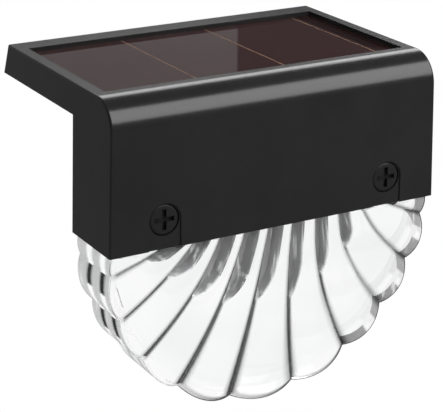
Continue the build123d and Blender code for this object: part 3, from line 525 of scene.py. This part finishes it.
def share_at(place, circle, inset):
    """The share at which a line of points along a flute meets the outline, or short of it."""
    low, high = SEARCH_SPAN
    for _ in range(SEARCH_STEPS):
        share = (low + high) / 2
        p = place(share)
        if math.hypot(p.x - circle[0], p.z - circle[1]) < circle[2] - inset:
            low = share
        else:
            high = share
    return (low + high) / 2


def crease_point(index, share):
    """A crease's place as a point, for share_at."""
    x, z = crease(index, share)
    return Point(x, 0.0, z)


def crease_stops(indices, circles):
    """Where each crease meets the rim's rounding and the band beside it, by (index, inset);
    the mean of what its two lobes say."""
    stops = {}
    for i, index in enumerate(indices):
        for inset in (RIM_ROUND, RIM_BAND):
            ends = [share_at(lambda share: crease_point(index, share), circle, inset)
                    for circle in circles[i:i + 2]]
            stops[index, inset] = sum(ends) / 2
    return stops


# ---------------------------------------------------------------- faces
def grid_faces(bm, rows):
    """Quads between rows of points, with the points' painted shade."""
    made = [[bm.verts.new(Vector((p.x, p.y, p.z)) * MM) for p in row] for row in rows]
    layers = [(bm.loops.layers.float.get(name), name) for name in PAINTED_SHADE]
    for i, (r0, r1) in enumerate(zip(rows, rows[1:])):
        for j in range(len(r0) - 1):
            corners = ((i, j), (i, j + 1), (i + 1, j + 1), (i + 1, j))
            face = bm.faces.new([made[a][b] for a, b in corners])
            for loop, (a, b) in zip(face.loops, corners):
                for layer, name in layers:
                    loop[layer] = getattr(rows[a][b], name)


def flat_face(bm, loops):
    """A flat face with holes, from closed loops of points."""
    edges = []
    for loop in loops:
        verts = [bm.verts.new(Vector((p.x, p.y, p.z)) * MM) for p in loop]
        edges += [bm.edges.new((a, b)) for a, b in zip(verts, verts[1:] + verts[:1])]
    bmesh.ops.triangle_fill(bm, use_beauty=True, use_dissolve=False, edges=edges)


def drop_repeats(points):
    """The points without those that repeat the one before."""
    kept = [points[0]]
    for p in points[1:]:
        if math.dist((p.x, p.y, p.z), (kept[-1].x, kept[-1].y, kept[-1].z)) > SAME_PLACE:
            kept.append(p)
    return kept


def closed(points):
    """A loop that comes back to its first point."""
    return points + points[:1]


def rounded_loop(half, front, rear, z):
    """A level rectangle with round corners, as points."""
    points = []
    for corner_x, corner_y, start in ((half, rear, 0), (-half, rear, 90), (-half, front, 180),
                                      (half, front, 270)):
        x = corner_x - math.copysign(COLLAR_CORNER, corner_x)
        y = rear - COLLAR_CORNER if corner_y == rear else front + COLLAR_CORNER
        for i in range(CORNER_STEPS + 1):
            turn = math.radians(start + 90 / CORNER_STEPS * i)
            points.append(Point(x + COLLAR_CORNER * math.cos(turn),
                                y + COLLAR_CORNER * math.sin(turn), z))
    return points


# ---------------------------------------------------------------- lens, part by part
def rounded_column(place, stops, grey, dark, flank):
    """Points along a flute to the band beside the rim, over the band and then over the rim's
    rounding. Stops are the shares of the rim, the rounding and the band. Grey is the band's
    painted shade, dark that of the painted outline, and flank how much painted shade darkens
    the rounding where it is steep."""
    rim, rounding, band = stops
    column = [place(band * i / ROWS) for i in range(ROWS + 1)]
    outline = rounding - (rim - rounding) * OUTLINE_REACH
    # the band's painted grey shade and the outline's painted dark line
    for share, line in ((band + (outline - band) * BAND_EDGE, 0.0), (outline, 0.0),
                        (rounding, dark)):
        p = place(share)
        p.shade = max(p.shade, grey)
        p.line = max(p.line, grey * BAND_LINE, line)
        column.append(p)
    start, end = column[-1], place(rim)
    for i in range(1, ARC_STEPS + 1):
        turn = math.pi / 2 * i / ARC_STEPS
        x = start.x + (end.x - start.x) * math.sin(turn)
        z = start.z + (end.z - start.z) * math.sin(turn)
        y = start.y + RIM_ROUND * (1 - math.cos(turn))
        line = max(dark, grey * BAND_LINE, start.line * (1 - i / ARC_STEPS))
        column.append(Point(x, y, z, grey, flank, line))
    return column


def painted_rim_shade(left, right, across):
    """The band's painted grey, the outline's painted darkness and the rounding's painted flank
    shade at a flute's rim.
    """
    low_lobe = None not in (left, right) and max(abs(left), abs(right)) <= SIDE_CREASE
    on_left = left is None or left < -SIDE_CREASE
    on_right = left is not None and left >= SIDE_CREASE
    gleam = right is not None and BAND_GLEAM[0] < across < BAND_GLEAM[1]
    grey = 1.0 if on_right and not gleam else 0.0
    turned = smooth(part_of(across, OUTLINE_TURN))
    dark = OUTLINE_LEFT + (1 - OUTLINE_LEFT) * turned if low_lobe else 0.0
    return grey, dark, LEFT_RIM_FLANK if on_left else RIM_FLANK


def flute_column(left, right, circle, at_creases, across):
    """One of a flute's columns, and the part of it that an end flute is at, or 0 on a crease."""
    if left is None or right is None:
        part = (1 - across) / 2 if left is None else (1 + across) / 2

        def place(share):
            return end_point(left, right, share, part)
    else:
        part = (1 - abs(across)) / 2

        def place(share):
            return flute_point(left, right, share, across)
    if part == 0:
        index = left if right is None or (left is not None and across < 0) else right
        stops = 1.0, at_creases[index, RIM_ROUND], at_creases[index, RIM_BAND]
    else:
        stops = [share_at(place, circle, inset) for inset in (0.0, RIM_ROUND, RIM_BAND)]
    return rounded_column(place, stops, *painted_rim_shade(left, right, across))


def lens_front(bm):
    """The fluted front. Gives back the rim's points, each with its share of its lobe and the
    angle of the lobe's middle; the inset rim; and the front edge of the top."""
    last = len(CUSP_ANGLES)
    indices = [i for i in range(-last, last + 1) if i]
    flutes = zip([None] + indices, indices + [None])
    angles = [-90] + [math.copysign(CUSP_ANGLES[abs(i) - 1], i) for i in indices] + [90]
    circles = [lobe_circle(a0, a1) for a0, a1 in zip(angles, angles[1:])]
    at_creases = crease_stops(indices, circles)
    rim, inset, top_front = [], [], []
    for number, (left, right) in enumerate(flutes):
        steps = [-1 + 2 * i / ACROSS for i in range(ACROSS + 1)]
        columns = [flute_column(left, right, circles[number], at_creases, t) for t in steps]
        grid_faces(bm, columns)
        middle = (angles[number] + angles[number + 1]) / 2
        rim += [(c[-1], (1 + t) / 2, middle) for c, t in zip(columns, steps)]
        inset += [c[-1 - ARC_STEPS] for c in columns]
        top_front += list(reversed(columns[0])) if left is None else []
        top_front += [c[0] for c in columns]
        top_front += columns[-1] if right is None else []
    return rim, inset, top_front


def wall_point(p, y, depth, part, middle):
    """Point on the rim's wall: painted grey shade, with a painted dark spot and a gleam left clear
    on each stripe of each side lobe. Part is the place's share of its lobe, and middle the angle
    of the lobe's middle."""
    from_top = part if middle < 0 else 1 - part
    striped = any(low < depth < high for low, high in WALL_STRIPES)
    strength = smooth(part_of(abs(middle), WALL_FADE)) * (1.0 if middle < 0 else RIGHT_WALL)
    spot = striped and SPOT_ENDS[0] < from_top < SPOT_ENDS[1] and abs(middle) < SPOTTED_TO
    grey = 0.0 if striped and not spot else WALL_GREY
    return Point(p.x, y, p.z, grey * strength, 0.0, strength * spot)


def lens_wall(bm, rim, inset):
    """The rim's wall and the rounding into the back; gives back the wall's rows."""
    rows = []
    for i in range(WALL_STEPS + 1):
        depth = i / WALL_STEPS
        rows.append([wall_point(p, p.y + (REAR_Y - REAR_ROUND - p.y) * depth, depth, part,
                                middle) for p, part, middle in rim])
    for i in range(1, ARC_STEPS + 1):
        turn = math.pi / 2 * i / ARC_STEPS
        pull = REAR_ROUND / RIM_ROUND * (1 - math.cos(turn))
        rows.append([Point(p.x + (q.x - p.x) * pull, REAR_Y - REAR_ROUND * (1 - math.sin(turn)),
                           p.z + (q.z - p.z) * pull) for (p, *_), q in zip(rim, inset)])
    lobe = ACROSS + 1
    for start in range(0, len(rim), lobe):
        grid_faces(bm, [row[start:start + lobe] for row in rows])
    return rows


def lens_back_and_top(bm, rows, top_front):
    """The flat back, and the flange's top round the collar."""
    flat_face(bm, [drop_repeats(rows[-1])])
    top_rear = [row[-1] for row in rows[1:]] + [row[0] for row in reversed(rows[1:])]
    outer = drop_repeats([Point(p.x, p.y, BASE_Z) for p in top_front + top_rear])
    flat_face(bm, [outer, rounded_loop(*COLLAR, BASE_Z)])


def lens_collar(bm):
    """The collar round the mouth, and the mouth down to the cavity."""
    high, ceiling = COLLAR_TOP_Z, BASE_Z - FLANGE
    grid_faces(bm, [closed(rounded_loop(*COLLAR, BASE_Z)), closed(rounded_loop(*COLLAR, high))])
    flat_face(bm, [rounded_loop(*COLLAR, high), rounded_loop(*MOUTH, high)])
    grid_faces(bm, [closed(rounded_loop(*MOUTH, high)), closed(rounded_loop(*MOUTH, ceiling))])


def lens_cavity(bm):
    """The hollow behind the flutes, below the flange."""
    ceiling = BASE_Z - FLANGE
    steps = int(90 / BOWL_STEP) - 1
    arc = [cusp(BOWL_STEP * i, LENS_WALL) for i in range(-steps, steps + 1)]
    arc = [(x, z) for x, z in arc if z < ceiling - FLANGE_CLEAR]
    drop = FLANGE / (CUSP_RADIUS_Z - LENS_WALL)
    reach = (CUSP_RADIUS_X - LENS_WALL) * math.sqrt(1 - drop ** 2)
    bowl = [(-reach, ceiling)] + arc + [(reach, ceiling)]
    front = [Point(x, valley_y(z) + LENS_FLOOR, z) for x, z in bowl]
    rear = [Point(x, CAVITY_REAR_Y, z) for x, z in bowl]
    grid_faces(bm, [front, rear])
    flat_face(bm, [front])
    flat_face(bm, [rear])
    flat_face(bm, [[front[0], front[-1], rear[-1], rear[0]], rounded_loop(*MOUTH, ceiling)])


def lens_mesh():
    """The lens as one closed mesh. The rim's wall and the cavity have the second material."""
    bm = bmesh.new()
    for name in PAINTED_SHADE:
        bm.loops.layers.float.new(name)
    rim, inset, top_front = lens_front(bm)
    front = set(bm.faces)
    rows = lens_wall(bm, rim, inset)
    wall = set(bm.faces) - front
    lens_back_and_top(bm, rows, top_front)
    lens_collar(bm)
    outside = set(bm.faces) - wall
    lens_cavity(bm)
    for face in bm.faces:
        face.material_index = 0 if face in outside else 1
    bmesh.ops.remove_doubles(bm, verts=bm.verts, dist=1e-7)
    bmesh.ops.dissolve_degenerate(bm, edges=bm.edges, dist=1e-7)
    bmesh.ops.recalc_face_normals(bm, faces=bm.faces)
    mesh = bpy.data.meshes.new("clear_lens_shape")
    bm.to_mesh(mesh)
    bm.free()
    return mesh


def make_lens():
    """The clear lens, which stands for the CAD lens."""
    lens = bpy.data.objects.new("clear_lens_moulding", lens_mesh())
    bpy.context.scene.collection.objects.link(lens)
    lens.data.materials.append(MATERIALS["clear_lens"])
    lens.data.materials.append(clear_acrylic("clear_acrylic_inside", INSIDE_IOR))
    for polygon in lens.data.polygons:
        polygon.use_smooth = True
    lens.data.set_sharp_from_angle(angle=math.radians(LENS_SHARP))
    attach(lens, "body")
    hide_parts("clear_lens")


make_lens()


# ---------------------------------------------------------------- screws, in millimetres
SCREW_X = 37.6
HEAD_RADIUS = 4.3           # of the CAD model's heads
HEAD_TOP_Y = -24.3
HEAD_SEAT_Y = -22.3
HEAD_FILL = 4.71            # radius as seen, which nearly fills the seat
HEAD_SPREAD = (0.7, 0.9)    # shares of the radius over which the head widens to that
HEAD_SUNK_Y = FRONT_Y + 0.5
SURFACE_SLACK = 0.01
THREAD_RADIUS = 1.9
THREAD_ROOT = 1.35
THREAD_PITCH = 1.6
THREAD_SIDES = 20           # steps in a turn
THREAD_START_Y = 0.6
THREAD_END_Y = 15.6
POINT_LENGTH = 4.0
RIDGE_FOOT = 0.35           # half the ridge's width at the root, and at the crest
RIDGE_CREST = 0.05
ROOT_SINK = 0.95            # the ridge's root and crest, as shares of the thread's
CREST_CLEAR = 0.99
RUN_IN = 0.3                # share of its height that the ridge starts with
RUN_OUT = 0.3               # how far past its end its height would come to nothing
SCREW_SHARP = 40            # degrees between faces from which their edge stays sharp


def sunk_screws():
    """The screws with their heads flat, sunk just below the recess and filling the seat, and
    with their threads cut."""
    bm = bmesh.new()
    bm.from_mesh(frame["nodes"]["mounting_screws"].data)
    for v in bm.verts:
        x, y, z = (c / MM for c in v.co)
        middle = math.copysign(SCREW_X, x)
        radius = math.hypot(x - middle, z)
        spread = 1.0
        if y < HEAD_SEAT_Y + SURFACE_SLACK:
            level = (y - HEAD_TOP_Y) / (HEAD_SEAT_Y - HEAD_TOP_Y)
            y = HEAD_SUNK_Y + (HEAD_SEAT_Y - HEAD_SUNK_Y) * level
            widened = smooth(part_of(radius / HEAD_RADIUS, HEAD_SPREAD))
            spread = 1 + (HEAD_FILL / HEAD_RADIUS - 1) * widened
        elif y > -SURFACE_SLACK:
            spread = THREAD_ROOT / THREAD_RADIUS
        v.co = Vector((middle + (x - middle) * spread, y, z * spread)) * MM
    for middle in (-SCREW_X, SCREW_X):
        thread_ridge(bm, middle)
    mesh = bpy.data.meshes.new("screw_shape")
    bm.to_mesh(mesh)
    bm.free()
    for polygon in mesh.polygons:
        polygon.use_smooth = True
    mesh.set_sharp_from_angle(angle=math.radians(SCREW_SHARP))
    mesh.materials.append(MATERIALS["black_screws"])
    screws = bpy.data.objects.new("sunk_screws", mesh)
    bpy.context.scene.collection.objects.link(screws)
    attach(screws, "body")
    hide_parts("mounting_screws")


def thread_ridge(bm, middle):
    """A helical ridge round one screw, which runs out over the point."""
    steps = int((THREAD_END_Y - THREAD_START_Y) / THREAD_PITCH * THREAD_SIDES)
    rows = []
    for i in range(steps + 1):
        turn = 2 * math.pi * i / THREAD_SIDES
        y = THREAD_START_Y + THREAD_PITCH * i / THREAD_SIDES
        taper = min(1.0, (THREAD_END_Y + RUN_OUT - y) / POINT_LENGTH, RUN_IN + i / THREAD_SIDES)
        root, crest = THREAD_ROOT * ROOT_SINK * taper, THREAD_RADIUS * CREST_CLEAR * taper
        rows.append([Vector((middle + r * math.cos(turn), y + dy, r * math.sin(turn))) * MM
                     for r, dy in ((root, -RIDGE_FOOT), (crest, -RIDGE_CREST),
                                   (crest, RIDGE_CREST), (root, RIDGE_FOOT))])
    made = [[bm.verts.new(place) for place in row] for row in rows]
    for r0, r1 in zip(made, made[1:]):
        for k in range(4):
            bm.faces.new((r0[k], r0[(k + 1) % 4], r1[(k + 1) % 4], r1[k]))
    bm.faces.new(reversed(made[0]))
    bm.faces.new(made[-1])


sunk_screws()


# ---------------------------------------------------------------- camera, fitted to the photo
PHOTO_WIDTH = 443           # pixels
PHOTO_HEIGHT = 412
PHOTO_CENTRE = (218.02, 208.57)     # where the camera's axis meets the photo
FOCAL_LENGTH = 1657.35      # pixels of the photo
SENSOR_WIDTH = 36           # millimetres
CAMERA_YAW = 29.638         # degrees, from +Y toward +X
CAMERA_PITCH = 20.375       # downward
CAMERA_ROLL = 0.301
CAMERA_PLACE = (-0.23893, -0.40821, 0.16448)
CLIP_RANGE = (0.01, 20)


def aim_camera():
    """The camera, at the place and turn from which the photo was taken."""
    yaw, pitch, roll = (math.radians(a) for a in (CAMERA_YAW, CAMERA_PITCH, CAMERA_ROLL))
    forward = Vector((math.sin(yaw) * math.cos(pitch), math.cos(yaw) * math.cos(pitch),
                      -math.sin(pitch)))
    right = Vector((math.cos(yaw), -math.sin(yaw), 0))
    down = -right.cross(forward)
    turned_right = right * math.cos(roll) - down * math.sin(roll)
    turned_down = right * math.sin(roll) + down * math.cos(roll)
    data = bpy.data.cameras.new("camera")
    data.sensor_width = SENSOR_WIDTH
    data.lens = FOCAL_LENGTH / PHOTO_WIDTH * SENSOR_WIDTH
    data.shift_x = (PHOTO_WIDTH / 2 - PHOTO_CENTRE[0]) / PHOTO_WIDTH
    data.shift_y = (PHOTO_CENTRE[1] - PHOTO_HEIGHT / 2) / PHOTO_WIDTH
    data.clip_start, data.clip_end = CLIP_RANGE
    camera = bpy.data.objects.new("camera", data)
    axes = Matrix((turned_right, -turned_down, -forward)).transposed()
    camera.matrix_world = Matrix.Translation(CAMERA_PLACE) @ axes.to_4x4()
    bpy.context.scene.collection.objects.link(camera)
    bpy.context.scene.camera = camera


aim_camera()


# ---------------------------------------------------------------- floor, world and lights
FLOOR_Z = -0.35
FLOOR_REACH = 3             # from its middle to its edges
SHINE_SHARE = 0.2           # brightness of the floor in reflections, where 1 is white
HORIZON_SHINE = 0.1         # and of the world
BEHIND_GLOW = 0.24          # what a stretch behind adds to that, for the panel's left part
BEHIND_EDGE = 30.3          # degrees from +Y toward +X where that stretch ends
BEHIND_FROM = 0.5           # least +Y part of a direction in it
FILL = 0.4                  # the world's plain light for all else


def light_path(tree, *names):
    """What the light path says of a ray; the greatest of the named outputs."""
    path = tree.nodes.new("ShaderNodeLightPath")
    greatest = path.outputs[names[0]]
    for name in names[1:]:
        greatest = tree_math(tree, "MAXIMUM", greatest, path.outputs[name])
    return greatest


def in_view(tree):
    """One for rays from the camera, in reflections or through clear parts, else zero."""
    return light_path(tree, "Is Camera Ray", "Is Glossy Ray", "Is Transmission Ray")


def let_through(tree):
    """One for rays that have been through a clear part, else zero."""
    return tree_math(tree, "MINIMUM", light_path(tree, "Transmission Depth"), 1.0)


def reflected(tree):
    """One for reflections, zero for what clear parts let through."""
    direct = tree_math(tree, "SUBTRACT", 1.0, let_through(tree))
    return tree_math(tree, "MULTIPLY", light_path(tree, "Is Glossy Ray"), direct)


def make_floor():
    """Shows white to the camera and through clear parts, dimmer white in reflections, and
    keeps the object's shadow for the rest."""
    bm = bmesh.new()
    bmesh.ops.create_grid(bm, x_segments=8, y_segments=8, size=FLOOR_REACH)
    mesh = bpy.data.meshes.new("floor")
    bm.to_mesh(mesh)
    bm.free()
    floor = bpy.data.objects.new("floor", mesh)
    floor.location.z = FLOOR_Z
    n = Nodes("pale_floor")
    n.link(n.between(n.noise(3), srgb((248, 248, 248)), srgb((252, 252, 252))),
           n.shader.inputs["Base Color"])
    n.set(Roughness=0.9)
    white = n.add("ShaderNodeEmission")
    white.inputs["Color"].default_value = (1, 1, 1, 1)
    dimmer = tree_math(n.tree, "MULTIPLY", reflected(n.tree), 1 - SHINE_SHARE)
    n.link(tree_math(n.tree, "SUBTRACT", 1.0, dimmer), white.inputs["Strength"])
    mix = n.add("ShaderNodeMixShader")
    n.link(in_view(n.tree), mix.inputs[0])
    n.link(n.shader.outputs[0], mix.inputs[1])
    n.link(white.outputs[0], mix.inputs[2])
    n.link(mix.outputs[0], n.output.inputs["Surface"])
    floor.data.materials.append(n.material)
    bpy.context.scene.collection.objects.link(floor)


def make_world():
    """White to the camera and through clear parts; an even grey, paler behind on the left, in
    reflections; and a plain fill."""
    world = bpy.data.worlds.new("studio")
    bpy.context.scene.world = world
    world.use_nodes = True
    tree = world.node_tree
    background = tree.nodes["Background"]
    background.inputs["Color"].default_value = (1, 1, 1, 1)
    coords = tree.nodes.new("ShaderNodeTexCoord").outputs["Generated"]
    split = tree.nodes.new("ShaderNodeSeparateXYZ")
    tree.links.new(coords, split.inputs[0])
    x, y, _ = split.outputs
    turn = math.radians(BEHIND_EDGE)
    side = tree_math(tree, "SUBTRACT", tree_math(tree, "MULTIPLY", y, math.sin(turn)),
                     tree_math(tree, "MULTIPLY", x, math.cos(turn)))
    left = tree_math(tree, "GREATER_THAN", side, 0.0)
    behind = tree_math(tree, "MULTIPLY", left, tree_math(tree, "GREATER_THAN", y, BEHIND_FROM))
    glow = tree_math(tree, "ADD", tree_math(tree, "MULTIPLY", behind, BEHIND_GLOW),
                     HORIZON_SHINE)
    direct = tree_math(tree, "MAXIMUM", let_through(tree), light_path(tree, "Is Camera Ray"))
    white = tree_math(tree, "MULTIPLY", in_view(tree), direct)
    shine = reflected(tree)
    strength = tree_math(tree, "ADD", tree_math(tree, "MULTIPLY", glow, shine), white)
    rest = tree_math(tree, "SUBTRACT", 1.0, tree_math(tree, "MAXIMUM", white, shine))
    strength = tree_math(tree, "ADD", strength, tree_math(tree, "MULTIPLY", rest, FILL))
    tree.links.new(strength, background.inputs["Strength"])


def softbox(name, turn, sweep, reach, size, radiance):
    """An even lamp aimed at the object. Turn is from -Y toward +Z over the shoulder, and sweep
    toward +X, in degrees."""
    turn, sweep = math.radians(turn), math.radians(sweep)
    place = Vector((math.sin(sweep), -math.cos(sweep) * math.cos(turn),
                    math.cos(sweep) * math.sin(turn))) * reach
    data = bpy.data.lights.new(name, "AREA")
    data.shape = "RECTANGLE"
    data.size, data.size_y = size
    data.energy = radiance * math.pi * size[0] * size[1]
    light = bpy.data.objects.new(name, data)
    # its first side runs level along the shoulder
    normal = place.normalized()
    along = Vector((1, 0, 0)) - normal * normal.x
    along.normalize()
    light.matrix_world = Matrix.Translation(place) @ Matrix(
        (along, normal.cross(along), normal)).transposed().to_4x4()
    bpy.context.scene.collection.objects.link(light)


make_floor()
make_world()
softbox("shoulder_softbox", turn=47, sweep=27, reach=0.8, size=(0.6, 0.6), radiance=6.9)
softbox("rear_strip", turn=141, sweep=27, reach=0.8, size=(0.6, 0.26), radiance=4.3)
